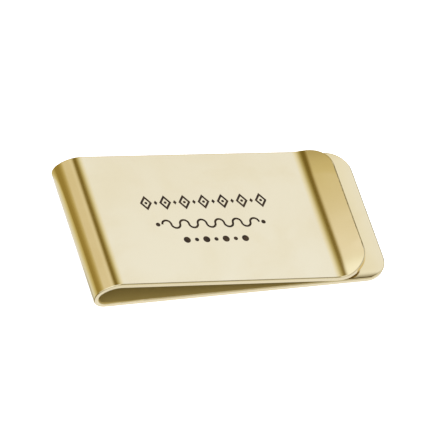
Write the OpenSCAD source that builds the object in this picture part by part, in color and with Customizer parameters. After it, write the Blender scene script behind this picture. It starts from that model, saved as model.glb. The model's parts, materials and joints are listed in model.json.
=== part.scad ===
// Money clip: one flat strip of sprung metal folded over itself. The back leaf lies flat,
// the bow turns over it, and the front leaf comes down to pinch banknotes against the back
// leaf before its lip turns up to let them in. The strip is drawn as its zones between the
// bend lines, so that it can flex about the nose of the bow.
// Origin: centre of the footprint, on the surface that the back leaf lies on.
// +X runs from the bow to the open end, +Y across the strip, +Z up.

/* [Strip] */
// Length over all, from the nose of the bow to the free end of the back leaf
clip_length = 50.8; // [40:0.1:70]
// Width of the strip
clip_width = 25.4; // [16:0.1:40]
// Height over the bow, at its top
clip_height = 5.7; // [4.6:0.05:8]
// Thickness of the strip
strip_t = 0.9; // [0.5:0.05:1.1]

/* [Bow] */
// Outer radius of the crown, the wide upper bend of the bow
crown_r = 4.4; // [3:0.1:6]
// Angle from upright at which the tight nose passes into the crown
crown_start = 50; // [40:1:75]

/* [Pinch and lip] */
// Radius of the pinch bend, on its hollow upper side
pinch_r = 5.4; // [2:0.1:7]
// Gap left between the pinch bend and the back leaf at rest
pinch_gap = 0.08; // [0.05:0.01:0.3]
// Angle of the lip above the back leaf
lip_angle = 22; // [12:1:40]
// Straight length of the lip past the pinch bend
lip_length = 3.5; // [2:0.1:6]
// How far the back leaf reaches past the end of the lip
leaf_reach = 3.7; // [1:0.1:8]
// Radius of the lip's two corners
lip_corner_r = 4.4; // [1:0.1:6]
// Radius of the back leaf's two corners
leaf_corner_r = 4.0; // [1:0.1:6]

/* [Engraving] */
// Depth of the engraved grooves
groove_depth = 0.15; // [0.05:0.01:0.3]
// How far the dark fill stays below the surface of the plate
fill_recess = 0.03; // [0.01:0.01:0.04]
// Clear metal between the first row and the bend at either end of the plate
ornament_margin = 7.2; // [4:0.1:14]
// How much shorter the second row is than the first, at each end
row_step_in = 1.35; // [0:0.05:2]
// Shift of the second row from the middle of the plate, across the strip
ornament_shift = -1.2; // [-2:0.1:2]
// Distance from the second row up to the first
upper_row_gap = 4.3; // [3.4:0.1:5]
// Distance from the second row down to the third
lower_row_gap = 3.15; // [2.4:0.05:4]
// Width of an engraved line
line_w = 0.36; // [0.2:0.02:0.6]
// Height of an open lozenge in the first row
lozenge_h = 2.9; // [2:0.1:4]
// Width of an open lozenge in the first row
lozenge_w = 2.1; // [1.4:0.1:3]
// Distance from one lozenge to the next
lozenge_pitch = 3.36; // [3.2:0.02:5]
// Middle radius of one arch of the wave in the second row
wave_r = 0.77; // [0.5:0.01:1.2]
// Diameter of a pearl in the third row
pearl_d = 1.2; // [0.6:0.05:1.6]
// Distance from one pearl to the next
pearl_pitch = 1.7; // [1.5:0.05:3]

/* [Hidden] */
$fn = 96;
gold = "#d8c27c";
pale_gold = "#e8dfc0";
dark_fill = "#3a2c1a";
clear = 1; // reach of a cutting solid past what it cuts

// Bow: a tight nose that the wider crown meets without a kink
nose_r = (clip_height - crown_r * (1 - cos(crown_start))) / (1 + cos(crown_start));
nose_c = [-clip_length / 2 + nose_r, nose_r];
crown_c = nose_c + (nose_r - crown_r) * [-sin(crown_start), cos(crown_start)];

// Pinch bend: its lowest line stands pinch_gap above the back leaf
lip_end_x = clip_length / 2 - leaf_reach;
pinch_c = [lip_end_x - lip_length * cos(lip_angle) - (pinch_r + strip_t) * sin(lip_angle),
           strip_t + pinch_gap + pinch_r + strip_t];

// The plate lies on the line that touches the crown from above and the pinch bend from below
span = pinch_c - crown_c;
plate_slope = asin((crown_r + pinch_r) / norm(span)) - atan2(span[1], span[0]);
plate_normal = [sin(plate_slope), cos(plate_slope)];
plate_start = crown_c + crown_r * plate_normal;
plate_end = pinch_c - pinch_r * plate_normal;
plate_length = norm(plate_end - plate_start);

// Ornament: each row holds as many motifs as the plate has room for
ornament_length = plate_length - 2 * ornament_margin;
lozenge_count = max(1, floor((ornament_length - lozenge_w) / lozenge_pitch) + 1);
wave_count = max(1, floor((ornament_length - 2 * row_step_in - 3 * wave_r) / (2 * wave_r)));
pearl_count = max(1, floor((ornament_length - 8 * row_step_in - pearl_d) / pearl_pitch) + 1);
small_lozenge = 0.9; // height of the solid lozenge between two open ones
small_pearl = 0.6; // size of every other pearl, as a share of a full one
dot_share = 1.4; // width of the dot in an open lozenge, as a share of a line

// Strip seen from the side, drawn in X and Z, given its width along Y
module across(width = clip_width) {
    rotate([90, 0, 0]) linear_extrude(height = width, center = true) children();
}

// Ring sector about an axis along Y; angles are counted from +X towards +Z
module bend(centre, r_in, r_out, from, to) {
    translate([centre[0], clip_width / 2, centre[1]]) rotate([90, 0, 0]) rotate([0, 0, from])
        rotate_extrude(angle = to - from) translate([r_in, 0]) square([r_out - r_in, clip_width]);
}

// Upright column over the strip's outline, round at the two corners of the end at end_x
module outline_column(end_x, r) {
    reach = clip_length;
    translate([0, 0, -clear]) linear_extrude(height = clip_height + 2 * clear) union() {
        translate([end_x - r - reach, -clip_width / 2]) square([reach, clip_width]);
        translate([end_x - r - clear, -clip_width / 2 + r]) square([r + clear, clip_width - 2 * r]);
        for (side = [-1, 1]) translate([end_x - r, side * (clip_width / 2 - r)]) circle(r = r);
    }
}

module lozenge(w, h) {
    polygon([[w / 2, 0], [0, h / 2], [-w / 2, 0], [0, -h / 2]]);
}

module open_lozenge() {
    inner = 1 - 2 * line_w * norm([lozenge_w, lozenge_h]) / (lozenge_w * lozenge_h);
    difference() {
        lozenge(lozenge_w, lozenge_h);
        lozenge(lozenge_w * inner, lozenge_h * inner);
    }
    circle(d = line_w * dot_share);
}

// One arch of the wave: half a ring, opening down (up = 1) or up (up = -1)
module arch(up) {
    intersection() {
        difference() {
            circle(r = wave_r + line_w / 2);
            circle(r = wave_r - line_w / 2);
        }
        translate([-2 * wave_r, up > 0 ? 0 : -2 * wave_r]) square([4 * wave_r, 2 * wave_r]);
    }
}

module lozenge_row() {
    for (i = [0 : lozenge_count - 1]) translate([(i - (lozenge_count - 1) / 2) * lozenge_pitch, 0])
        open_lozenge();
    if (lozenge_count > 1) for (i = [0 : lozenge_count - 2])
        translate([(i - (lozenge_count - 2) / 2) * lozenge_pitch, 0])
            lozenge(small_lozenge * lozenge_w / lozenge_h, small_lozenge);
}

module wave_row() {
    half = (wave_count - 1) / 2;
    for (i = [0 : wave_count - 1]) translate([(i - half) * 2 * wave_r, 0])
        arch(i % 2 == 0 ? 1 : -1);
    for (side = [-1, 1]) translate([side * ((half + 1) * 2 * wave_r), 0])
        circle(d = wave_r);
}

module pearl_row() {
    for (i = [0 : pearl_count - 1]) translate([(i - (pearl_count - 1) / 2) * pearl_pitch, 0])
        circle(d = i % 2 == 0 ? pearl_d : pearl_d * small_pearl);
}

module ornament() {
    translate([0, upper_row_gap]) lozenge_row();
    wave_row();
    translate([0, -lower_row_gap]) pearl_row();
}

// The ornament as solids in the plate, from the groove's floor up to top_z over the surface
module engraved(top_z) {
    middle = (plate_start + plate_end) / 2;
    translate([middle[0], 0, middle[1]]) rotate([0, plate_slope, 0])
        translate([0, ornament_shift, -groove_depth])
            linear_extrude(height = groove_depth + top_z) ornament();
}

module back_leaf() {
    color(gold) intersection() {
        across() translate([nose_c[0], 0]) square([clip_length / 2 - nose_c[0], strip_t]);
        outline_column(clip_length / 2, leaf_corner_r);
    }
}

module bow_lower() {
    color(gold) bend(nose_c, nose_r - strip_t, nose_r, 180, 270);
}

module bow_upper() {
    color(gold) bend(nose_c, nose_r - strip_t, nose_r, 90 + crown_start, 180);
}

module shoulder_bend() {
    color(gold) bend(crown_c, crown_r - strip_t, crown_r, 90 - plate_slope, 90 + crown_start);
}

module front_plate() {
    color(pale_gold) difference() {
        translate([plate_start[0], 0, plate_start[1]]) rotate([0, plate_slope, 0])
            translate([0, -clip_width / 2, -strip_t]) cube([plate_length, clip_width, strip_t]);
        engraved(clear);
    }
}

module pinch_bend() {
    color(gold) intersection() {
        bend(pinch_c, pinch_r, pinch_r + strip_t, 270 - plate_slope, 270 + lip_angle);
        outline_column(lip_end_x, lip_corner_r);
    }
}

module entry_lip() {
    color(gold) intersection() {
        translate([pinch_c[0], 0, pinch_c[1]]) rotate([0, -lip_angle, 0])
            translate([0, -clip_width / 2, -pinch_r - strip_t])
                cube([lip_length, clip_width, strip_t]);
        outline_column(lip_end_x, lip_corner_r);
    }
}

module engraving_fill() {
    color(dark_fill) engraved(-fill_recess);
}

back_leaf();
bow_lower();
bow_upper();
shoulder_bend();
front_plate();
pinch_bend();
entry_lip();
engraving_fill();
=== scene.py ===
"""A money clip: one gold-plated strip, engraved flat and folded into shape by three bends."""
import json
import math

import bmesh
import bpy
from mathutils import Matrix, Vector


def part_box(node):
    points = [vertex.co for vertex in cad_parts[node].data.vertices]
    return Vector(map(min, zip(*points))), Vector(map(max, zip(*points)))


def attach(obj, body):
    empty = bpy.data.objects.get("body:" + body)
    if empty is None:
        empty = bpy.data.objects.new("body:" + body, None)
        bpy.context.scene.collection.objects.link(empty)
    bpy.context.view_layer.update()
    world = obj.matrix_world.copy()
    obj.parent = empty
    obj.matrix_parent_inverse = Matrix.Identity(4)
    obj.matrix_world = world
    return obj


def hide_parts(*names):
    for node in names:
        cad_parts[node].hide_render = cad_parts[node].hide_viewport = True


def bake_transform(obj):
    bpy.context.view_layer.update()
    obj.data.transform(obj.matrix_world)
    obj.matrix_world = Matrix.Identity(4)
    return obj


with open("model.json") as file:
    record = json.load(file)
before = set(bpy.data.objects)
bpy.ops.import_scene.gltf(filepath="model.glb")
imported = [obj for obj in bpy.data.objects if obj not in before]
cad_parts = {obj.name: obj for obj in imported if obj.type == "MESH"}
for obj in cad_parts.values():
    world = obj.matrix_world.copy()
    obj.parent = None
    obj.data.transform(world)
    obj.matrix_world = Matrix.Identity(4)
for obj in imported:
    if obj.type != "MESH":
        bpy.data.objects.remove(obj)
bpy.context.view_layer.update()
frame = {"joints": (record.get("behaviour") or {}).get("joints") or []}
MM = 0.001

# ---- sizes, in metres
leaf_lo, leaf_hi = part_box("back_leaf")
joint = frame["joints"][0]
LEAF_END_X = leaf_hi.x
STRIP_W = leaf_hi.y - leaf_lo.y
STRIP_T = leaf_hi.z - leaf_lo.z
NOSE_X = leaf_lo.x                      # where the flat leaf passes into the bow
ARC_SAG = 0.0005 * MM                   # the CAD's facets lie this far inside its arcs
NOSE_R = joint["pos_m"][2] - ARC_SAG    # outer radius of the bow's nose
CROWN_R = 4.4 * MM                      # outer radius of the crown
CROWN_START = math.radians(50)          # angle from upright where the nose meets the crown
PINCH_R = 5.4 * MM                      # hollow radius of the pinch bend
PINCH_GAP = 0.08 * MM                   # hair gap between the leaves at rest
LIP_ANGLE = math.radians(22)
LIP_LENGTH = 3.5 * MM
LEAF_CORNER_R = 4.0 * MM
LIP_CORNER_R = 4.4 * MM
OUTER_EDGE_R = 0.17 * MM                # rounding of the edges on the strip's outer side
LIP_EDGE_R = 0.20 * MM                  # and on the lip's upper side
LEAF_EDGE_R = 0.28 * MM                 # and on its inner side, along the back leaf
NOSE_EDGE_R = 0.36 * MM                 # and round the nose, where folding stretched it
PLATE_EDGE_R = 0.08 * MM                # and along the front leaf, which is less worn
LEAF_EASE = 0.07 * MM                   # how much polishing has lowered the leaf's free end
EASE_L = 3.4 * MM                       # and the length that it is lowered over
SIDE_ROLL = 0.15                        # lean of the leaf's face at its long edges, radians
SIDE_LINES = (0.94, 0.88, 0.6)          # lines beside the long edges, as shares of half the width
ROLL_FROM = 0.88                        # where the back leaf's roll starts, as such a share
ROLL_END = 8 * MM                       # how far the roll runs from the leaf's free end
ROLL_FADE = 4 * MM                      # and the length that it fades out over
CROWN = 0.024                           # lean of the front leaf's face at its long edges, radians
CROWN_IN = 4 * MM                       # the length over which it grows, from the bow's bend
LIP_CROWN = 0.045                       # and of the lip's face, which leans a little more
LIP_DISH = 0.14                         # further lean at the lip's two sides, which are dished
DISH_FROM = 0.5                         # where the dish starts, as a share of half the width
SATIN_SHADE_FROM = 0.85                       # how far up the inner rounding the satin face, with its painted shade of the gap, begins
NOSE_SATIN_SHADE = 0.70                       # and how much lower it begins inside the nose, to paint the shade there
POLISHED_PAST = 2 * MM                  # how far the polish runs in under the pinch
NOSE_RUN_IN = 4 * MM                    # the length over which the nose's wider rounding grows
SATIN_SHADE_RUN_IN = 8 * MM                   # and the nose's wider satin and painted shade
SEAM_IN = 0.4 * MM                      # how far the pieces' seams lie inside the flats
GROOVE_DEPTH = 0.15 * MM
FILL_RECESS = 0.03 * MM                 # how far the fill stays below the surface
CUT_CLEAR = 0.05 * MM                   # how far the engraving cutter stands past the surface
ORNAMENT_SIZES = {
    "Line": 0.36 * MM, "Lozenge Width": 2.1 * MM, "Lozenge Height": 2.9 * MM,
    "Lozenge Pitch": 3.36 * MM, "Small Lozenge": 0.9 * MM, "Dot": 0.504 * MM,
    "Wave Radius": 0.77 * MM, "Pearl": 1.2 * MM, "Pearl Pitch": 1.7 * MM,
    "Small Pearl": 0.6, "Upper Gap": 4.3 * MM, "Lower Gap": 3.15 * MM,
    "Shift": -1.2 * MM}
ORNAMENT_COUNTS = {"Lozenge Count": 7, "Wave Count": 11, "Pearl Count": 7}

# how finely the shapes are divided
BEND_STEP = math.radians(1.5)
FLAT_STEPS = 12
CORNER_STEPS = 28
EDGE_STEPS = 6
ARCH_STEPS = 16
DOT_SIDES, END_DOT_SIDES, PEARL_SIDES = 20, 28, 32
WELD = 1e-6                             # points closer than this become one

# the plate lies on the line that touches the crown from above and the pinch from below
LIP_END_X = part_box("entry_lip")[1].x
crown_c = Vector((NOSE_X - (NOSE_R - CROWN_R) * math.sin(CROWN_START),
                  NOSE_R + (NOSE_R - CROWN_R) * math.cos(CROWN_START)))
pinch_c = Vector((LIP_END_X - LIP_LENGTH * math.cos(LIP_ANGLE)
                  - (PINCH_R + STRIP_T) * math.sin(LIP_ANGLE),
                  2 * STRIP_T + PINCH_GAP + PINCH_R))
span = pinch_c - crown_c
SLOPE = math.asin((CROWN_R + PINCH_R) / span.length) - math.atan2(span.y, span.x)
plate_up = Vector((math.sin(SLOPE), math.cos(SLOPE)))
plate_start = crown_c + CROWN_R * plate_up
plate_end = pinch_c - PINCH_R * plate_up
PLATE_L = (plate_end - plate_start).length

# the bends in the order of the strip's run from the back leaf's free end
NOSE_TURN = math.pi - CROWN_START
CROWN_TURN = CROWN_START + SLOPE
PINCH_TURN = SLOPE + LIP_ANGLE
nose_at = LEAF_END_X - NOSE_X
nose_len = NOSE_TURN * (NOSE_R - STRIP_T / 2)
crown_at = nose_at + nose_len
crown_len = CROWN_TURN * (CROWN_R - STRIP_T / 2)
plate_at = crown_at + crown_len
pinch_at = plate_at + PLATE_L
pinch_len = PINCH_TURN * (PINCH_R + STRIP_T / 2)
lip_at = pinch_at + pinch_len
STRIP_END = lip_at + LIP_LENGTH
BENDS = [("nose", nose_at, nose_len, NOSE_TURN, NOSE_R),
         ("crown", crown_at, crown_len, CROWN_TURN, CROWN_R),
         ("pinch", pinch_at, pinch_len, -PINCH_TURN, -PINCH_R)]


# ---- node helpers
def add(tree, kind, **settings):
    """A new node in a tree, with its settings."""
    node = tree.nodes.new(kind)
    for key, value in settings.items():
        setattr(node, key, value)
    return node


def put(node, **values):
    """Sets a node's unlinked sockets by name."""
    for name, value in values.items():
        node.inputs[name.replace("_", " ")].default_value = value
    return node


def link(tree, source, target):
    tree.links.new(source, target)
    return target


def math_node(tree, operation, a, b=None, c=None):
    node = add(tree, "ShaderNodeMath", operation=operation)
    for i, value in enumerate((a, b, c)):
        if value is None:
            continue
        if isinstance(value, (int, float)):
            node.inputs[i].default_value = value
        else:
            tree.links.new(value, node.inputs[i])
    return node.outputs[0]


def group_tree(name, kind, inputs, outputs):
    tree = bpy.data.node_groups.new(name, kind)
    for socket, socket_type, value in inputs:
        item = tree.interface.new_socket(socket, in_out="INPUT", socket_type=socket_type)
        if value is not None:
            item.default_value = value
    for socket, socket_type in outputs:
        tree.interface.new_socket(socket, in_out="OUTPUT", socket_type=socket_type)
    return tree, add(tree, "NodeGroupInput"), add(tree, "NodeGroupOutput")


def run_modifier(obj, tree, values):
    """Puts a geometry tree on an object, sets its inputs and turns the result into a plain mesh."""
    modifier = obj.modifiers.new(tree.name, "NODES")
    modifier.node_group = tree
    for item in tree.interface.items_tree:
        if item.item_type == "SOCKET" and item.in_out == "INPUT" and item.name in values:
            modifier[item.identifier] = values[item.name]
    graph = bpy.context.evaluated_depsgraph_get()
    graph.update()
    made = bpy.data.meshes.new_from_object(obj.evaluated_get(graph), depsgraph=graph)
    obj.modifiers.remove(modifier)
    coat = next(material for material in made.materials if material)
    made.materials.clear()
    made.materials.append(coat)
    made.polygons.foreach_set("material_index", [0] * len(made.polygons))
    obj.data = made
    return obj


# ---- folding the strip
def fold_group():
    """One press-brake bend: everything past the bend line turns about the bend's axis."""
    tree, given, result = group_tree(
        "press brake bend", "GeometryNodeTree",
        [("Geometry", "NodeSocketGeometry", None), ("Bend Line", "NodeSocketFloat", 0.0),
         ("Bend Length", "NodeSocketFloat", 0.001), ("Turn", "NodeSocketFloat", 0.0),
         ("Centre Height", "NodeSocketFloat", 0.0), ("Leaf End", "NodeSocketFloat", 0.0)],
        [("Geometry", "NodeSocketGeometry")])
    run = add(tree, "GeometryNodeInputNamedAttribute", data_type="FLOAT")
    put(run, Name="run")
    past = math_node(tree, "SUBTRACT", run.outputs["Attribute"], given.outputs["Bend Line"])
    past = math_node(tree, "MAXIMUM", past, 0.0)
    past = math_node(tree, "MINIMUM", past, given.outputs["Bend Length"])
    share = math_node(tree, "DIVIDE", past, given.outputs["Bend Length"])
    angle = math_node(tree, "MULTIPLY", share, given.outputs["Turn"])
    line_x = math_node(tree, "SUBTRACT", given.outputs["Leaf End"], given.outputs["Bend Line"])

    centre = add(tree, "ShaderNodeCombineXYZ")
    link(tree, line_x, centre.inputs["X"])
    link(tree, given.outputs["Centre Height"], centre.inputs["Z"])
    drawn_in = add(tree, "ShaderNodeCombineXYZ")
    link(tree, past, drawn_in.inputs["X"])
    moved = add(tree, "ShaderNodeVectorMath", operation="ADD")
    link(tree, add(tree, "GeometryNodeInputPosition").outputs[0], moved.inputs[0])
    link(tree, drawn_in.outputs[0], moved.inputs[1])
    turned = add(tree, "ShaderNodeVectorRotate", rotation_type="Y_AXIS")
    link(tree, moved.outputs[0], turned.inputs["Vector"])
    link(tree, centre.outputs[0], turned.inputs["Center"])
    link(tree, angle, turned.inputs["Angle"])

    facing = add(tree, "GeometryNodeInputNamedAttribute", data_type="FLOAT_VECTOR")
    put(facing, Name="facing")
    swung = add(tree, "ShaderNodeVectorRotate", rotation_type="Y_AXIS")
    link(tree, facing.outputs["Attribute"], swung.inputs["Vector"])
    link(tree, angle, swung.inputs["Angle"])
    keep = add(tree, "GeometryNodeStoreNamedAttribute", data_type="FLOAT_VECTOR",
               domain="POINT")
    put(keep, Name="facing")
    link(tree, given.outputs["Geometry"], keep.inputs["Geometry"])
    link(tree, swung.outputs[0], keep.inputs["Value"])
    bend = add(tree, "GeometryNodeSetPosition")
    link(tree, keep.outputs[0], bend.inputs["Geometry"])
    link(tree, turned.outputs[0], bend.inputs["Position"])
    link(tree, bend.outputs[0], result.inputs["Geometry"])
    return tree


def strip_tree(name, material, inputs, first_step):
    """Makes a flat geometry and folds it, the far bend first, so each bend starts flat."""
    inputs = inputs + [("Leaf End", "NodeSocketFloat", 0.0)]
    for bend, *_ in BENDS:
        inputs += [(bend + word, "NodeSocketFloat", 0.0)
                   for word in (" line", " length", " turn", " centre")]
    tree, given, result = group_tree(name, "GeometryNodeTree", inputs,
                                     [("Geometry", "NodeSocketGeometry")])
    place = add(tree, "ShaderNodeSeparateXYZ")
    link(tree, add(tree, "GeometryNodeInputPosition").outputs[0], place.inputs[0])
    run = put(add(tree, "GeometryNodeStoreNamedAttribute", data_type="FLOAT",
                  domain="POINT"), Name="run")
    link(tree, math_node(tree, "SUBTRACT", given.outputs["Leaf End"], place.outputs["X"]),
         run.inputs["Value"])
    link(tree, first_step(tree, given), run.inputs["Geometry"])
    flow = run.outputs[0]
    for bend, *_ in reversed(BENDS):
        fold = add(tree, "GeometryNodeGroup", node_tree=bend_tree)
        link(tree, flow, fold.inputs["Geometry"])
        link(tree, given.outputs["Leaf End"], fold.inputs["Leaf End"])
        for socket, word in (("Bend Line", " line"), ("Bend Length", " length"),
                             ("Turn", " turn"), ("Centre Height", " centre")):
            link(tree, given.outputs[bend + word], fold.inputs[socket])
        flow = fold.outputs["Geometry"]
    real = add(tree, "GeometryNodeRealizeInstances")
    link(tree, flow, real.inputs[0])
    coat = add(tree, "GeometryNodeSetMaterial")
    coat.inputs["Material"].default_value = material
    link(tree, real.outputs[0], coat.inputs["Geometry"])
    link(tree, coat.outputs[0], result.inputs["Geometry"])
    return tree


# ---- engraved ornament
def lozenge_or_dot(tree, sides, width, height):
    """A closed flat outline: four sides make a lozenge, many make a dot."""
    ring = put(add(tree, "GeometryNodeCurvePrimitiveCircle"), Resolution=sides, Radius=0.5)
    size = add(tree, "ShaderNodeCombineXYZ")
    for socket, value in (("X", width), ("Y", height)):
        link(tree, value, size.inputs[socket])
    size.inputs["Z"].default_value = 1.0
    scaled = add(tree, "GeometryNodeTransform")
    link(tree, ring.outputs["Curve"], scaled.inputs["Geometry"])
    link(tree, size.outputs[0], scaled.inputs["Scale"])
    return scaled.outputs["Geometry"]


def joined(tree, *parts):
    join = add(tree, "GeometryNodeJoinGeometry")
    for part in parts:
        link(tree, part, join.inputs[0])
    return join.outputs[0]


def filled(tree, outline):
    fill = add(tree, "GeometryNodeFillCurve")
    link(tree, outline, fill.inputs["Curve"])
    return fill.outputs["Mesh"]


def row_of(tree, motif, count, pitch, size=None):
    """The motif repeated along a row that is centred on the middle of the plate."""
    gaps = math_node(tree, "SUBTRACT", count, 1.0)
    first = math_node(tree, "MULTIPLY", math_node(tree, "MULTIPLY", gaps, pitch), -0.5)
    line = add(tree, "GeometryNodeMeshLine", mode="OFFSET")
    link(tree, count, line.inputs["Count"])
    for socket, value in (("Start Location", first), ("Offset", pitch)):
        vector = add(tree, "ShaderNodeCombineXYZ")
        link(tree, value, vector.inputs["X"])
        link(tree, vector.outputs[0], line.inputs[socket])
    spots = add(tree, "GeometryNodeInstanceOnPoints")
    link(tree, line.outputs["Mesh"], spots.inputs["Points"])
    link(tree, motif, spots.inputs["Instance"])
    if size is not None:
        link(tree, size, spots.inputs["Scale"])
    return spots.outputs["Instances"]


def moved_by(tree, geometry, x=None, y=None, z=None):
    shift = add(tree, "ShaderNodeCombineXYZ")
    for socket, value in (("X", x), ("Y", y), ("Z", z)):
        if value is not None:
            link(tree, value, shift.inputs[socket])
    place = add(tree, "GeometryNodeTransform")
    link(tree, geometry, place.inputs["Geometry"])
    link(tree, shift.outputs[0], place.inputs["Translation"])
    return place.outputs["Geometry"]


def slab(tree, faces, depth):
    """Gives flat faces a thickness and closes them underneath."""
    real = add(tree, "GeometryNodeRealizeInstances")
    link(tree, faces, real.inputs[0])
    rise = add(tree, "ShaderNodeCombineXYZ")
    link(tree, depth, rise.inputs["Z"])
    up = add(tree, "GeometryNodeExtrudeMesh", mode="FACES")
    put(up, Individual=False, Offset_Scale=1.0)
    link(tree, real.outputs[0], up.inputs["Mesh"])
    link(tree, rise.outputs[0], up.inputs["Offset"])
    under = add(tree, "GeometryNodeFlipFaces")
    link(tree, real.outputs[0], under.inputs["Mesh"])
    weld = put(add(tree, "GeometryNodeMergeByDistance"), Distance=WELD)
    link(tree, joined(tree, up.outputs["Mesh"], under.outputs["Mesh"]),
         weld.inputs["Geometry"])
    return weld.outputs["Geometry"]


def running_wave(tree, count, radius, line, depth):
    """Half rings that open down and up by turns, drawn as one line and swept to a ribbon."""
    total = math_node(tree, "MULTIPLY", count, float(ARCH_STEPS))
    path = add(tree, "GeometryNodeMeshLine", mode="OFFSET")
    link(tree, math_node(tree, "ADD", total, 1.0), path.inputs["Count"])
    path.inputs["Offset"].default_value = (MM, 0, 0)
    place = math_node(tree, "DIVIDE", add(tree, "GeometryNodeInputIndex").outputs[0],
                      float(ARCH_STEPS))
    last = math_node(tree, "SUBTRACT", count, 1.0)
    arch = math_node(tree, "MINIMUM", math_node(tree, "FLOOR", place), last)
    angle = math_node(tree, "MULTIPLY", math_node(tree, "SUBTRACT", place, arch), math.pi)
    middle = math_node(tree, "SUBTRACT", math_node(tree, "MULTIPLY", arch, 2.0), last)
    along = math_node(tree, "SUBTRACT", middle, math_node(tree, "COSINE", angle))
    side = math_node(tree, "MULTIPLY_ADD", math_node(tree, "MODULO", arch, 2.0), -2.0, 1.0)
    across = math_node(tree, "MULTIPLY", side, math_node(tree, "SINE", angle))
    point = add(tree, "ShaderNodeCombineXYZ")
    link(tree, math_node(tree, "MULTIPLY", along, radius), point.inputs["X"])
    link(tree, math_node(tree, "MULTIPLY", across, radius), point.inputs["Y"])
    shaped = add(tree, "GeometryNodeSetPosition")
    link(tree, path.outputs["Mesh"], shaped.inputs["Geometry"])
    link(tree, point.outputs[0], shaped.inputs["Position"])
    curve = add(tree, "GeometryNodeMeshToCurve")
    link(tree, shaped.outputs[0], curve.inputs["Mesh"])
    upright = add(tree, "GeometryNodeSetCurveNormal", mode="Z_UP")
    link(tree, curve.outputs[0], upright.inputs["Curve"])
    section = add(tree, "GeometryNodeCurvePrimitiveQuadrilateral")
    link(tree, line, section.inputs["Width"])
    link(tree, depth, section.inputs["Height"])
    sweep = put(add(tree, "GeometryNodeCurveToMesh"), Fill_Caps=True)
    link(tree, upright.outputs[0], sweep.inputs["Curve"])
    link(tree, section.outputs[0], sweep.inputs["Profile Curve"])
    return moved_by(tree, sweep.outputs[0], z=math_node(tree, "MULTIPLY", depth, 0.5))


def ornament_inputs():
    return ([(name, "NodeSocketFloat", value) for name, value in ORNAMENT_SIZES.items()]
            + [(name, "NodeSocketInt", value) for name, value in ORNAMENT_COUNTS.items()]
            + [(name, "NodeSocketFloat", 0.0) for name in ("Middle", "Top", "Depth")])


def ornament_group():
    """Three rows for the flat blank: open lozenges, a running wave and a row of pearls."""
    tree, given, result = group_tree("three engraved rows", "GeometryNodeTree",
                                     ornament_inputs(), [("Geometry", "NodeSocketGeometry")])
    size = given.outputs
    wide, high, line = size["Lozenge Width"], size["Lozenge Height"], size["Line"]
    # a line of even width leaves an inner lozenge this share of the outer one
    diagonal = math_node(tree, "SQRT", math_node(
        tree, "ADD", math_node(tree, "MULTIPLY", wide, wide),
        math_node(tree, "MULTIPLY", high, high)))
    share = math_node(tree, "DIVIDE", math_node(tree, "MULTIPLY", line, diagonal),
                      math_node(tree, "MULTIPLY", wide, high))
    share = math_node(tree, "MULTIPLY_ADD", share, -2.0, 1.0)
    frame_line = joined(
        tree, lozenge_or_dot(tree, 4, wide, high),
        lozenge_or_dot(tree, 4, math_node(tree, "MULTIPLY", wide, share),
                       math_node(tree, "MULTIPLY", high, share)))
    motif = joined(tree, filled(tree, frame_line),
                   filled(tree, lozenge_or_dot(tree, DOT_SIDES, size["Dot"], size["Dot"])))
    pitch, count = size["Lozenge Pitch"], size["Lozenge Count"]
    small = size["Small Lozenge"]
    slim = math_node(tree, "DIVIDE", math_node(tree, "MULTIPLY", small, wide), high)
    between = filled(tree, lozenge_or_dot(tree, 4, slim, small))
    lozenges = joined(tree, row_of(tree, motif, count, pitch),
                      row_of(tree, between, math_node(tree, "SUBTRACT", count, 1.0), pitch))
    upper = moved_by(tree, lozenges, y=size["Upper Gap"])

    radius, arches = size["Wave Radius"], size["Wave Count"]
    end_gap = math_node(tree, "MULTIPLY", math_node(
        tree, "MULTIPLY", math_node(tree, "ADD", arches, 1.0), radius), 2.0)
    two = add(tree, "FunctionNodeInputInt", integer=2).outputs[0]
    end_dot = filled(tree, lozenge_or_dot(tree, END_DOT_SIDES, radius, radius))
    end_dots = row_of(tree, end_dot, two, end_gap)

    odd = math_node(tree, "MODULO", add(tree, "GeometryNodeInputIndex").outputs[0], 2.0)
    less = math_node(tree, "SUBTRACT", size["Small Pearl"], 1.0)
    pearl_size = math_node(tree, "MULTIPLY_ADD", odd, less, 1.0)
    pearl = filled(tree, lozenge_or_dot(tree, PEARL_SIDES, size["Pearl"], size["Pearl"]))
    pearls = row_of(tree, pearl, size["Pearl Count"], size["Pearl Pitch"], pearl_size)
    lower = moved_by(tree, pearls,
                     y=math_node(tree, "MULTIPLY", size["Lower Gap"], -1.0))

    solids = joined(tree, slab(tree, joined(tree, upper, end_dots, lower), size["Depth"]),
                    running_wave(tree, arches, radius, line, size["Depth"]))
    placed = moved_by(tree, solids, x=size["Middle"], y=size["Shift"], z=size["Top"])
    link(tree, placed, result.inputs["Geometry"])
    return tree


def ornament_step(tree, given):
    rows = add(tree, "GeometryNodeGroup", node_tree=ornament_tree)
    for name, *_ in ornament_inputs():
        link(tree, given.outputs[name], rows.inputs[name])
    return rows.outputs["Geometry"]


def engraving_step(tree, given):
    cut = add(tree, "GeometryNodeMeshBoolean", operation="DIFFERENCE", solver="EXACT")
    link(tree, given.outputs["Geometry"], cut.inputs["Mesh 1"])
    link(tree, ornament_step(tree, given), cut.inputs["Mesh 2"])
    return cut.outputs["Mesh"]


def plain_step(tree, given):
    return given.outputs["Geometry"]


def step(value, low, high):
    """0 below low, 1 above high, and an even rise between them."""
    t = min(max((value - low) / (high - low), 0.0), 1.0)
    return t * t * (3 - 2 * t)


def stations(start, end):
    """Places along the run: close together in the bends, few in the flats."""
    found = {start, end}
    for _, at, length, turn, _ in BENDS:
        steps = max(2, round(abs(turn) / BEND_STEP))
        found |= {at + length * i / steps for i in range(steps + 1)}
    for at, until in ((0.0, nose_at), (plate_at, pinch_at)):
        found |= {at + (until - at) * i / FLAT_STEPS for i in range(FLAT_STEPS + 1)}
    kept = []
    for s in sorted(s for s in found if start <= s <= end):
        if not kept or s - kept[-1] > WELD:
            kept.append(s)
    return kept


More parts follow.
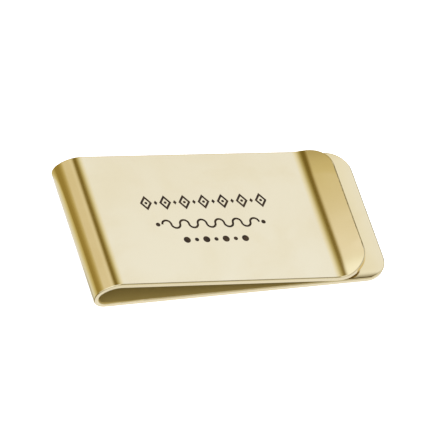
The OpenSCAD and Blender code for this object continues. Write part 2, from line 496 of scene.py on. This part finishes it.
def edge_r(s, inner):
    """Rounding of the strip's edge at a place along the run, on its inner or outer side."""
    if not inner:
        return OUTER_EDGE_R + (LIP_EDGE_R - OUTER_EDGE_R) * step(s, pinch_at, lip_at)
    r = LEAF_EDGE_R + (NOSE_EDGE_R - LEAF_EDGE_R) * step(s, nose_at - NOSE_RUN_IN, nose_at)
    return r + (PLATE_EDGE_R - r) * step(s, (nose_at + crown_at) / 2, plate_at)


def side_points(start, end, start_r, end_r, stretch, inset_at):
    """Half outline as (run, half width, outward normal); stretch lengthens the end's corners."""
    half = STRIP_W / 2
    first = start + start_r if start_r else start
    last = end - end_r * stretch if end_r else end
    points = []
    if start_r:
        for i in range(CORNER_STEPS):
            a = math.pi / 2 * i / CORNER_STEPS
            r = start_r - inset_at(start)
            points.append((first - r * math.cos(a), half - start_r + r * math.sin(a),
                           -math.cos(a), math.sin(a)))
    for s in stations(first, last):
        points.append((s, half - inset_at(s), 0.0, 1.0))
    if end_r:
        for i in range(1, CORNER_STEPS + 1):
            a = math.pi / 2 * i / CORNER_STEPS
            inset = inset_at(end)
            r = end_r - inset
            flat = Vector((math.sin(a), math.cos(a) * stretch)).normalized()
            points.append((last + (r * stretch + inset * (stretch - 1)) * math.sin(a),
                           half - end_r + r * math.cos(a), flat.x, flat.y))
    return points


def satin_and_painted_shade(s, up):
    """1 on the satin inner face, which carries painted shade of the gap, 0 on the polished edges
    and on the leaf's free end.
    """
    leaves_touch = nose_at - (pinch_c.x - NOSE_X)
    in_nose = step(s, nose_at - SATIN_SHADE_RUN_IN, nose_at)
    in_nose *= 1 - step(s, (nose_at + crown_at) / 2, plate_at)
    reach = SATIN_SHADE_FROM - NOSE_SATIN_SHADE * in_nose
    return step(s, leaves_touch, leaves_touch + POLISHED_PAST) * step(up, reach, (1 + reach) / 2)


def leans(s, share, outer):
    """How a face leans from flat, along the strip and across it, at a share of its width."""
    lean = CROWN + (LIP_CROWN - CROWN) * step(s, pinch_at, lip_at)
    crown = lean * share * step(s, plate_at, plate_at + CROWN_IN)
    dish = LIP_DISH * step(abs(share), DISH_FROM, 1.0) * step(s, (pinch_at + lip_at) / 2, lip_at)
    crown += math.copysign(dish, share)
    if outer:
        return 0.0, crown
    free_end = max(1 - s / EASE_L, 0.0)
    roll = SIDE_ROLL * step(abs(share), ROLL_FROM, 1.0)
    roll *= 1 - step(s, ROLL_END, ROLL_END + ROLL_FADE)
    return 2 * LEAF_EASE / EASE_L * free_end, math.copysign(roll, share) - crown


def flat_blank(name, start, end, start_r=0.0, end_r=0.0, stretch=1.0):
    """A closed flat piece of strip with rounded edges, ready to be folded."""
    quarter = [math.pi / 2 * i / EDGE_STEPS for i in range(EDGE_STEPS + 1)]
    turns = [a - math.pi / 2 for a in quarter] + quarter
    coords, facing, edge, inside, faces = [], [], [], [], []

    def point(s, w, ns, nw, a, inner):
        up = math.sin(a)
        r = edge_r(s, inner)
        z = STRIP_T - r + r * up if inner else r + r * up
        along, across = leans(s, w / (STRIP_W / 2 - r), up < 0)
        low = max(1 - s / EASE_L, 0.0) ** 2 if a > 0 else 0.0
        coords.append((LEAF_END_X - s, w, z - LEAF_EASE * low))
        flat = up ** 4                  # the face's lean fades out over the edge's rounding
        facing.append((-ns * math.cos(a) + along * flat, nw * math.cos(a) + across * flat, up))
        edge.append(max(math.cos(a), 0.0) ** 0.5)
        inside.append(satin_and_painted_shade(s, up))

    for k, a in enumerate(turns):
        inner = k > EDGE_STEPS

        def inset_at(s):
            return edge_r(s, inner) * (1 - math.cos(a))

        side = side_points(start, end, start_r, end_r, stretch, inset_at)
        (s0, w0, *_), (s1, w1, *_) = side[0], side[-1]
        half_ring = [(s0, w0 * share, -1.0, 0.0) for share in SIDE_LINES[::-1]] + side
        half_ring += [(s1, w1 * share, 1.0, 0.0) for share in SIDE_LINES]
        for sign, points in ((-1, half_ring), (1, half_ring[::-1])):
            for s, w, ns, nw in points:
                point(s, sign * w, ns, sign * nw, a, inner)
    n, m = len(side), len(SIDE_LINES)
    loop = 2 * (n + 2 * m)
    for k in range(len(turns) - 1):
        for i in range(loop):
            j = (i + 1) % loop
            faces.append((k * loop + i, k * loop + j, (k + 1) * loop + j, (k + 1) * loop + i))
    # the two flat faces, with lines beside the long edges that carry the faces' lean
    for first, a in ((0, -math.pi / 2), ((len(turns) - 1) * loop, math.pi / 2)):
        lines = []
        for sign in (-1, 1):
            ring = [first + (i if sign < 0 else loop - 1 - i) for i in range(n + 2 * m)]
            rows_in = [ring[m:m + n]]
            for q, share in enumerate(SIDE_LINES):
                row = [ring[m - 1 - q]]
                for s, w, *_ in side[1:-1]:
                    row.append(len(coords))
                    point(s, sign * w * share, 0.0, 0.0, a, a > 0)
                rows_in.append(row + [ring[m + n + q]])
            lines += rows_in if sign < 0 else rows_in[::-1]
        for near, far in zip(lines, lines[1:]):
            for i in range(n - 1):
                faces.append((near[i], near[i + 1], far[i + 1], far[i]))
    mesh = bpy.data.meshes.new(name)
    mesh.from_pydata(coords, [], faces)
    shape = bmesh.new()
    shape.from_mesh(mesh)
    bmesh.ops.recalc_face_normals(shape, faces=shape.faces)
    if shape.calc_volume(signed=True) < 0:
        bmesh.ops.reverse_faces(shape, faces=shape.faces)
    shape.to_mesh(mesh)
    shape.free()
    for key, values in (("edge", edge), ("inside", inside)):
        mesh.attributes.new(key, "FLOAT", "POINT").data.foreach_set("value", values)
    flat = [c for v in facing for c in v]
    mesh.attributes.new("facing", "FLOAT_VECTOR", "POINT").data.foreach_set("vector", flat)
    obj = bpy.data.objects.new(name, mesh)
    bpy.context.scene.collection.objects.link(obj)
    return obj


def empty_piece(name):
    obj = bpy.data.objects.new(name, bpy.data.meshes.new(name))
    bpy.context.scene.collection.objects.link(obj)
    return obj


PARALLEL = 0.99999                      # cosine over which a face lies in the plate's plane
KNOWN = 0.9                             # length over which a point knows which way it faces
SAME_SIDE = 0.5                         # cosine over which that way fits the face


def true_normals(obj):
    """Gives every corner the normal of the ideal bent surface, and seams and cuts their own."""
    mesh = obj.data
    mesh.shade_smooth()
    facing = mesh.attributes["facing"].data
    run = mesh.attributes["run"].data
    plate_face = Vector((plate_up.x, 0, plate_up.y))
    normals = [None] * len(mesh.loops)
    for face in mesh.polygons:
        on_plate = face.normal.dot(plate_face) > PARALLEL
        for i in face.loop_indices:
            v = mesh.loops[i].vertex_index
            ideal = Vector(facing[v].vector)
            if on_plate:
                share = mesh.vertices[v].co.y / (STRIP_W / 2 - OUTER_EDGE_R)
                ideal = plate_face + Vector((0, leans(run[v].value, share, True)[1], 0))
            fits = ideal.length > KNOWN and ideal.normalized().dot(face.normal) > SAME_SIDE
            normals[i] = ideal.normalized() if fits else face.normal.copy()
    mesh.normals_split_custom_set(normals)


def folded(obj, tree, **extra):
    values = {"Leaf End": LEAF_END_X, **extra}
    for name, at, length, turn, centre in BENDS:
        values.update({name + " line": at, name + " length": length,
                       name + " turn": turn, name + " centre": centre})
    return run_modifier(obj, tree, values)


# ---- materials
def coords_of(tree):
    return add(tree, "ShaderNodeTexCoord").outputs["Object"]


POLISHED_GOLD = (0.925, 0.775, 0.435, 1)
HANDLED_GOLD = (0.905, 0.745, 0.400, 1)
EDGE_GOLD = (0.95, 0.83, 0.55, 1)
# the satin inner side's tone: darkened with painted shade of the gap between the leaves
SATIN_GOLD_PAINTED_SHADE = (0.300, 0.218, 0.060, 1)
FILL_DEEP = (0.018, 0.009, 0.003, 1)
FILL_WORN = (0.046, 0.026, 0.010, 1)
EDGE_WEAR = 0.5                         # how far the edges are rubbed to their brighter tone
SATIN_METAL = 0.25                      # metallic share of the satin inner side
POLISH = (0.095, 0.125)                 # roughness, from clean to handled
HAIRLINE = 0.01                         # how much a hairline adds or takes away
SATIN_ROUGH = 0.40                      # how much the satin inner side adds
FILL_ROUGH = (0.5, 0.7)
SWELL_HEIGHT = 0.09 * MM
HAIRLINE_HEIGHT = 0.01 * MM
FILL_GRAIN = 0.01 * MM
SCRATCH_TURN = 0.9                      # direction of the handling scratches, in radians
SCRATCH_FINENESS = 420
SCRATCH_LENGTH = 26


def hairline_group():
    """Fine directional polishing lines, with a few longer handling scratches among them."""
    tree, given, result = group_tree(
        "hairline polish", "ShaderNodeTree",
        [("Vector", "NodeSocketVector", None), ("Fineness", "NodeSocketFloat", 900.0),
         ("Length", "NodeSocketFloat", 0.02), ("Scratch Share", "NodeSocketFloat", 0.04)],
        [("Lines", "NodeSocketFloat"), ("Scratches", "NodeSocketFloat")])
    squeeze = add(tree, "ShaderNodeCombineXYZ")
    link(tree, given.outputs["Fineness"], squeeze.inputs["X"])
    across = math_node(tree, "MULTIPLY", given.outputs["Fineness"], given.outputs["Length"])
    link(tree, across, squeeze.inputs["Y"])
    link(tree, given.outputs["Fineness"], squeeze.inputs["Z"])
    drawn_out = add(tree, "ShaderNodeVectorMath", operation="MULTIPLY")
    link(tree, given.outputs["Vector"], drawn_out.inputs[0])
    link(tree, squeeze.outputs[0], drawn_out.inputs[1])
    lines = put(add(tree, "ShaderNodeTexNoise"), Scale=6.0, Detail=4.0, Roughness=0.6)
    link(tree, drawn_out.outputs[0], lines.inputs["Vector"])
    link(tree, lines.outputs["Fac"], result.inputs["Lines"])
    tilt = put(add(tree, "ShaderNodeMapping"), Rotation=(0.0, 0.0, SCRATCH_TURN),
               Scale=(SCRATCH_FINENESS, SCRATCH_LENGTH, SCRATCH_FINENESS))
    link(tree, given.outputs["Vector"], tilt.inputs["Vector"])
    cells = put(add(tree, "ShaderNodeTexNoise"), Scale=9.0, Detail=1.0)
    link(tree, tilt.outputs[0], cells.inputs["Vector"])
    fine = add(tree, "ShaderNodeMapRange", interpolation_type="SMOOTHSTEP")
    put(fine, From_Min=0.68, From_Max=0.80)
    link(tree, cells.outputs["Fac"], fine.inputs["Value"])
    part = math_node(tree, "MULTIPLY", fine.outputs[0], given.outputs["Scratch Share"])
    link(tree, part, result.inputs["Scratches"])
    return tree


def smudge_group():
    """Soft clouded patches, as fingers leave them on polished metal."""
    tree, given, result = group_tree(
        "handling haze", "ShaderNodeTree",
        [("Vector", "NodeSocketVector", None), ("Size", "NodeSocketFloat", 90.0)],
        [("Haze", "NodeSocketFloat")])
    cloud = put(add(tree, "ShaderNodeTexNoise"), Detail=5.0, Roughness=0.55, Distortion=0.6)
    link(tree, given.outputs["Vector"], cloud.inputs["Vector"])
    link(tree, given.outputs["Size"], cloud.inputs["Scale"])
    soft = add(tree, "ShaderNodeMapRange", interpolation_type="SMOOTHERSTEP")
    put(soft, From_Min=0.35, From_Max=0.75)
    link(tree, cloud.outputs["Fac"], soft.inputs["Value"])
    link(tree, soft.outputs[0], result.inputs["Haze"])
    return tree


def dressing_group():
    """The broad, very shallow swells that rolling and folding leave in thin sheet."""
    tree, given, result = group_tree(
        "sheet swell", "ShaderNodeTree",
        [("Vector", "NodeSocketVector", None), ("Size", "NodeSocketFloat", 70.0)],
        [("Height", "NodeSocketFloat")])
    swell = put(add(tree, "ShaderNodeTexNoise"), Detail=0.0)
    link(tree, given.outputs["Vector"], swell.inputs["Vector"])
    link(tree, given.outputs["Size"], swell.inputs["Scale"])
    link(tree, swell.outputs["Fac"], result.inputs["Height"])
    return tree


def mix_colour(tree, factor, a, b):
    node = add(tree, "ShaderNodeMix", data_type="RGBA")
    for socket, value in ((node.inputs["Factor"], factor), (node.inputs[6], a),
                          (node.inputs[7], b)):
        if isinstance(value, (int, float, tuple)):
            socket.default_value = value
        else:
            tree.links.new(value, socket)
    return node.outputs[2]


def spread(tree, value, low, high):
    """Maps a 0 to 1 value to low to high."""
    node = put(add(tree, "ShaderNodeMapRange"), To_Min=low, To_Max=high)
    link(tree, value, node.inputs["Value"])
    return node.outputs[0]


def gold_plating(hairlines, smudges, dressing):
    """Polished pale gold plate: faint hairlines, handling haze, brighter edges, and a satin inside
    darkened with painted shade of the gap.
    """
    material = bpy.data.materials.new("pale gold plating")
    material.use_nodes = True
    tree = material.node_tree
    shader = tree.nodes["Principled BSDF"]
    place = coords_of(tree)
    lines = add(tree, "ShaderNodeGroup", node_tree=hairlines)
    haze = add(tree, "ShaderNodeGroup", node_tree=smudges)
    waves = add(tree, "ShaderNodeGroup", node_tree=dressing)
    for group in (lines, haze, waves):
        link(tree, place, group.inputs["Vector"])
    edge = add(tree, "ShaderNodeAttribute", attribute_name="edge").outputs["Fac"]
    inside = add(tree, "ShaderNodeAttribute", attribute_name="inside").outputs["Fac"]

    tone = mix_colour(tree, haze.outputs["Haze"], POLISHED_GOLD, HANDLED_GOLD)
    tone = mix_colour(tree, math_node(tree, "MULTIPLY", edge, EDGE_WEAR), tone, EDGE_GOLD)
    # the inner side's satin tone is painted shade of the gap between the leaves
    tone = mix_colour(tree, inside, tone, SATIN_GOLD_PAINTED_SHADE)
    link(tree, tone, shader.inputs["Base Color"])
    link(tree, spread(tree, inside, 1.0, SATIN_METAL), shader.inputs["Metallic"])
    rough = spread(tree, haze.outputs["Haze"], *POLISH)
    grain = spread(tree, lines.outputs["Lines"], -HAIRLINE, HAIRLINE)
    rough = math_node(tree, "ADD", rough, grain)
    rough = math_node(tree, "ADD", rough, lines.outputs["Scratches"])
    rough = math_node(tree, "MULTIPLY_ADD", inside, SATIN_ROUGH, rough)
    link(tree, rough, shader.inputs["Roughness"])
    swell = put(add(tree, "ShaderNodeBump"), Strength=1.0, Distance=SWELL_HEIGHT)
    link(tree, waves.outputs["Height"], swell.inputs["Height"])
    bump = put(add(tree, "ShaderNodeBump"), Strength=0.03, Distance=HAIRLINE_HEIGHT)
    height = math_node(tree, "SUBTRACT", lines.outputs["Lines"], lines.outputs["Scratches"])
    link(tree, height, bump.inputs["Height"])
    link(tree, swell.outputs[0], bump.inputs["Normal"])
    link(tree, bump.outputs[0], shader.inputs["Normal"])
    return material


def engraving_fill(smudges):
    """Dark brown oxidised fill in the engraving, matt and slightly uneven."""
    material = bpy.data.materials.new("dark engraving fill")
    material.use_nodes = True
    tree = material.node_tree
    shader = tree.nodes["Principled BSDF"]
    cloud = put(add(tree, "ShaderNodeGroup", node_tree=smudges), Size=900.0)
    link(tree, coords_of(tree), cloud.inputs["Vector"])
    tone = mix_colour(tree, cloud.outputs["Haze"], FILL_DEEP, FILL_WORN)
    link(tree, tone, shader.inputs["Base Color"])
    link(tree, spread(tree, cloud.outputs["Haze"], *FILL_ROUGH), shader.inputs["Roughness"])
    shader.inputs["Specular IOR Level"].default_value = 0.25
    bump = put(add(tree, "ShaderNodeBump"), Strength=0.2, Distance=FILL_GRAIN)
    link(tree, cloud.outputs["Haze"], bump.inputs["Height"])
    link(tree, bump.outputs[0], shader.inputs["Normal"])
    return material


hairlines, smudges = hairline_group(), smudge_group()
gold = gold_plating(hairlines, smudges, dressing_group())
fill = engraving_fill(smudges)

# ---- the strip's three pieces
given_geometry = [("Geometry", "NodeSocketGeometry", None)]
bend_tree = fold_group()
ornament_tree = ornament_group()
plain_strip = strip_tree("folded strip", gold, given_geometry, plain_step)
engraved_strip = strip_tree("engraved strip", gold, given_geometry + ornament_inputs(),
                            engraving_step)
fill_strip = strip_tree("fill in the grooves", fill, given_geometry + ornament_inputs(),
                        ornament_step)
bow_from = nose_at - SEAM_IN
bow_to = plate_at + SEAM_IN
plate_middle = LEAF_END_X - plate_at - PLATE_L / 2
ornament_values = {**ORNAMENT_SIZES, **ORNAMENT_COUNTS, "Middle": plate_middle}

back = folded(flat_blank("back_leaf_strip", 0.0, bow_from, start_r=LEAF_CORNER_R),
              plain_strip)
bow = folded(flat_blank("bow_strip", bow_from, bow_to), plain_strip)
front = folded(flat_blank("front_leaf_strip", bow_to, STRIP_END, end_r=LIP_CORNER_R,
                          stretch=1 / math.cos(LIP_ANGLE)),
               engraved_strip, Top=-CUT_CLEAR, Depth=GROOVE_DEPTH + CUT_CLEAR, **ornament_values)
ornament = folded(empty_piece("ornament_fill"), fill_strip, Top=FILL_RECESS,
                  Depth=GROOVE_DEPTH - FILL_RECESS, **ornament_values)

for piece in (back, bow, front):
    true_normals(piece)

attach(back, "back")
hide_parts("back_leaf")
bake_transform(bow)
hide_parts("bow_lower", "bow_upper", "shoulder_bend")
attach(front, "front")
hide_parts("front_plate", "pinch_bend", "entry_lip")
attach(ornament, "front")
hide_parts("engraving_fill")

# ---- camera
VIEW_AZIMUTH = math.radians(-33.0)
VIEW_ELEVATION = math.radians(50.0)
VIEW_ROLL = math.radians(21.08)         # the clip is shown tipped to the right
VIEW_DISTANCE = 0.9735
VIEW_CENTRE = Vector((-0.77, 1.192, 0.490)) * MM
LENS = 494.3


def make_camera():
    data = bpy.data.cameras.new("camera")
    data.lens = LENS
    data.sensor_width = 36.0
    data.clip_start, data.clip_end = 0.05, 20.0
    camera = bpy.data.objects.new("camera", data)
    bpy.context.scene.collection.objects.link(camera)
    back_dir = Vector((math.sin(VIEW_AZIMUTH) * math.cos(VIEW_ELEVATION),
                       -math.cos(VIEW_AZIMUTH) * math.cos(VIEW_ELEVATION),
                       math.sin(VIEW_ELEVATION)))
    level = Vector((0, 0, 1)).cross(back_dir).normalized()
    upright = back_dir.cross(level)
    right = level * math.cos(VIEW_ROLL) + upright * math.sin(VIEW_ROLL)
    up = back_dir.cross(right)
    turn = Matrix((right, up, back_dir)).transposed()
    camera.matrix_world = Matrix.Translation(VIEW_CENTRE + back_dir * VIEW_DISTANCE) \
        @ turn.to_4x4()
    bpy.context.scene.camera = camera


# ---- studio
def times(tree, a, b):
    node = add(tree, "ShaderNodeMix", data_type="RGBA", blend_type="MULTIPLY")
    node.inputs["Factor"].default_value = 1.0
    link(tree, a, node.inputs[6])
    link(tree, b, node.inputs[7])
    return node.outputs[2]


def ramp(tree, value, stops):
    node = add(tree, "ShaderNodeValToRGB")
    node.color_ramp.interpolation = "LINEAR"
    while len(node.color_ramp.elements) < len(stops):
        node.color_ramp.elements.new(0.5)
    for element, (place, colour) in zip(node.color_ramp.elements, stops):
        element.position = place
        element.color = (*colour, 1)
    link(tree, value, node.inputs["Fac"])
    return node.outputs["Color"]


def smooth(tree, value, low, high):
    """Rises evenly from 0 at low to 1 at high, or falls where low is the larger."""
    node = put(add(tree, "ShaderNodeMapRange", interpolation_type="SMOOTHSTEP"),
               From_Min=low, From_Max=high)
    link(tree, value, node.inputs["Value"])
    return node.outputs[0]


def region(tree, axes, *edges):
    """A part of the room or the table: 1 inside it, 0 outside, with soft edges.

    An edge is an axis, the place where the part is still 0 and the place where it is 1.
    """
    mask = None
    for axis, zero_at, one_at in edges:
        edge = smooth(tree, axes[axis], zero_at, one_at)
        mask = edge if mask is None else math_node(tree, "MULTIPLY", mask, edge)
    return mask


COOL_BOX = (0.90, 0.985, 1.34)          # the large daylight softbox, back right
WARM_BOX = (0.718, 0.662, 0.540)        # the lamp-lit softbox, back left
WARM_RIM = (0.765, 0.725, 0.62)         # its brighter edge beside the gap
DARK_GAP = (0.200, 0.150, 0.040)        # the unlit gap between them
LOW_WALL = (0.327, 0.253, 0.075)        # the room at the horizon
SIDE_WALL = (0.50, 0.44, 0.27)          # the wall just above it, behind the clip
OVERHEAD = (0.66, 0.62, 0.48)           # the plain ceiling
DARK_CARD = (0.06, 0.045, 0.02)         # the dark card over the camera
DARK_DOOR = (0.05, 0.04, 0.012)         # an open door past the free ends, at the back
LOW_FRONT = (0.24, 0.20, 0.09)          # the room at the horizon behind the camera
LAMP_SIDE = (0.84, 0.89, 1.02)          # the bright half of the ceiling and front wall
LAMP = (1.02, 1.10, 1.32)               # the lamp over the bow's side of the ceiling
END_WALL = (0.74, 0.75, 0.78)           # the walls past the clip's two ends
FRONT_WALL = (0.62, 0.60, 0.54)         # the pale wall behind the camera

# the softboxes and the gap from left (0) to right (1), as they stand along the back
SOFTBOXES = [
    (0.30, WARM_BOX), (0.365, WARM_RIM), (0.402, (0.66, 0.61, 0.48)),
    (0.444, (0.340, 0.275, 0.120)), (0.469, DARK_GAP), (0.511, DARK_GAP),
    (0.541, (0.300, 0.245, 0.090)), (0.585, (0.500, 0.452, 0.262)),
    (0.648, (0.775, 0.785, 0.760)), (0.690, (0.87, 0.91, 1.06)), (0.74, COOL_BOX)]
# their tint from left to right, at the edge toward the clip and at the far edge
NEAR_TINT = [(0.36, (1.16, 1.24, 1.60)), (0.60, (1.03, 1.05, 1.09))]
FAR_TINT = [(0.36, (0.88, 0.85, 0.66)), (0.60, (0.97, 0.96, 0.93))]
# the back wall from the horizon up to the softboxes
BACK_WALL = [
    (0.0, LOW_WALL), (0.20, LOW_WALL), (0.32, (0.42, 0.34, 0.13)),
    (0.42, (0.55, 0.48, 0.27)), (0.52, (0.70, 0.65, 0.50))]


def lamp(name, energy, spread_deg, elevation):
    """A broad lamp for the matt surfaces; the polished ones reflect only the room."""
    light = bpy.data.objects.new(name, bpy.data.lights.new(name, "SUN"))
    light.data.energy = energy
    light.data.angle = math.radians(spread_deg)
    light.rotation_euler = (math.radians(90 - elevation), 0, 0)
    light.visible_glossy = False
    bpy.context.scene.collection.objects.link(light)


def light_room():
    """Soft light from all round: two softboxes at the back with an unlit gap between them."""
    world = bpy.data.worlds.new("studio")
    bpy.context.scene.world = world
    world.use_nodes = True
    tree = world.node_tree
    background = tree.nodes["Background"]
    ray = add(tree, "ShaderNodeSeparateXYZ")
    link(tree, add(tree, "ShaderNodeTexCoord").outputs["Generated"], ray.inputs[0])
    axes = {"x": ray.outputs[0], "y": ray.outputs[1], "z": ray.outputs[2]}
    place = math_node(tree, "MULTIPLY_ADD", axes["x"], 0.5, 0.5)
    far = region(tree, axes, ("y", 0.44, 0.64))
    tint = mix_colour(tree, far, ramp(tree, place, NEAR_TINT), ramp(tree, place, FAR_TINT))
    sky = times(tree, ramp(tree, place, SOFTBOXES), tint)
    beside = region(tree, axes, ("x", -0.45, -0.15), ("z", 0.04, 0.15), ("z", 0.45, 0.30))
    low = mix_colour(tree, beside, ramp(tree, axes["z"], BACK_WALL), (*SIDE_WALL, 1))
    back = mix_colour(tree, region(tree, axes, ("z", 0.44, 0.56)), low, sky)
    front = mix_colour(tree, region(tree, axes, ("z", 0.08, 0.26)), (*LOW_FRONT, 1),
                       (*FRONT_WALL, 1))
    room = mix_colour(tree, region(tree, axes, ("y", -0.25, 0.1)), front, back)
    lit_side = mix_colour(tree, region(tree, axes, ("x", -0.20, -0.10)), (*LAMP, 1),
                          (*LAMP_SIDE, 1))
    over = ("y", 0.42, 0.20)            # from above the clip on towards the camera
    for colour, edges in (
            ((*OVERHEAD, 1), [over, ("z", 0.70, 0.85)]),
            ((*DARK_CARD, 1), [over, ("x", 0.24, 0.30), ("x", 0.58, 0.52), ("z", 0.50, 0.56),
                               ("y", -0.55, -0.40)]),
            (lit_side, [over, ("x", 0.26, 0.20), ("z", 0.28, 0.42)]),
            ((*END_WALL, 1), [over, ("x", -0.62, -0.80), ("z", 0.10, 0.22)]),
            ((*END_WALL, 1), [over, ("x", 0.58, 0.70), ("z", 0.0, 0.08)]),
            ((*DARK_DOOR, 1), [("x", 0.68, 0.76), ("z", 0.48, 0.36), ("y", 0.36, 0.46),
                               ("y", 0.68, 0.60)])):
        room = mix_colour(tree, region(tree, axes, *edges), room, colour)
    link(tree, room, background.inputs["Color"])
    lamp("overhead", energy=2.5, spread_deg=150, elevation=90)
    lamp("front_fill", energy=1.15, spread_deg=40, elevation=28)


# the painted glow that the metal sees in the table, from the clip's edge (0) out to TABLE_REACH (1)
TABLE_REACH = 0.05
TABLE_SEEN = [
    (0.0, (0.85, 0.88, 1.00)), (0.02, (0.81, 0.84, 0.93)), (0.05, (0.76, 0.78, 0.79)),
    (0.09, (0.69, 0.68, 0.55)), (0.145, (0.63, 0.585, 0.375)),
    (0.26, (0.52, 0.455, 0.23)), (0.75, LOW_WALL)]
NEAR_STRETCH, BEHIND_STRETCH = 0.35, 6.0  # how fast it dims in front of the clip and behind it
BOW_SHADE = (0.60, 0.58, 0.47)          # its shade close beside the bow
FLOOR_HALF = 1.5
TABLE_WHITE = (0.9, 0.9, 0.9, 1)
TABLE_GLOW = 0.5                        # keeps the table's white even round the clip


def floor_plane():
    """A white table. Metal sees a painted glow in it: bright beside the clip and dim farther off,
    with painted shade by the bow and a painted shadow at the bow's near corner.
    """
    mesh = bpy.data.meshes.new("floor")
    corners = [(x * FLOOR_HALF, y * FLOOR_HALF, 0) for x, y in ((-1, -1), (1, -1), (1, 1), (-1, 1))]
    mesh.from_pydata(corners, [], [(0, 1, 2, 3)])
    floor = bpy.data.objects.new("floor", mesh)
    bpy.context.scene.collection.objects.link(floor)
    material = bpy.data.materials.new("white table")
    material.use_nodes = True
    tree = material.node_tree
    shader = tree.nodes["Principled BSDF"]
    put(shader, Base_Color=TABLE_WHITE, Roughness=0.9)
    shader.inputs["Specular IOR Level"].default_value = 0.0
    place = add(tree, "ShaderNodeSeparateXYZ")
    link(tree, coords_of(tree), place.inputs[0])
    past = []
    for value, half in zip(place.outputs, (LEAF_END_X, STRIP_W / 2)):
        beyond = math_node(tree, "SUBTRACT", math_node(tree, "ABSOLUTE", value), half)
        past.append(math_node(tree, "MAXIMUM", beyond, 0.0))
    axes = {"left": math_node(tree, "MULTIPLY", place.outputs[0], -1.0), "y": place.outputs[1]}
    behind = region(tree, axes, ("y", 0.0, STRIP_W / 2))
    past[1] = math_node(tree, "MULTIPLY", past[1],
                        spread(tree, behind, NEAR_STRETCH, BEHIND_STRETCH))
    square = [math_node(tree, "MULTIPLY", value, value) for value in past]
    away = math_node(tree, "SQRT", math_node(tree, "ADD", *square))
    seen = ramp(tree, math_node(tree, "DIVIDE", away, TABLE_REACH), TABLE_SEEN)
    by_bow = region(tree, axes, ("left", 24.9 * MM, 25.5 * MM), ("left", 27.4 * MM, 26.2 * MM),
                    ("y", -2.0 * MM, -9.5 * MM))
    seen = times(tree, seen, mix_colour(tree, by_bow, (1.0, 1.0, 1.0, 1), (*BOW_SHADE, 1)))
    # a painted contact shadow on the table at the bow's near corner, as dark as the room at the
    # horizon
    corner = region(tree, axes, ("left", 24.9 * MM, 25.5 * MM), ("y", -12.6 * MM, -13.0 * MM))
    seen = mix_colour(tree, corner, seen, (*LOW_FRONT, 1))
    glow = add(tree, "ShaderNodeEmission")
    link(tree, seen, glow.inputs["Color"])
    swap = add(tree, "ShaderNodeMixShader")
    link(tree, add(tree, "ShaderNodeLightPath").outputs["Is Glossy Ray"], swap.inputs["Fac"])
    lit = add(tree, "ShaderNodeAddShader")
    from_below = add(tree, "ShaderNodeEmission")
    from_below.inputs["Strength"].default_value = TABLE_GLOW
    link(tree, shader.outputs[0], lit.inputs[0])
    link(tree, from_below.outputs[0], lit.inputs[1])
    link(tree, lit.outputs[0], swap.inputs[1])
    link(tree, glow.outputs[0], swap.inputs[2])
    link(tree, swap.outputs[0], tree.nodes["Material Output"].inputs["Surface"])
    mesh.materials.append(material)


make_camera()
light_room()
floor_plane()
bpy.context.scene.view_settings.view_transform = "Standard"
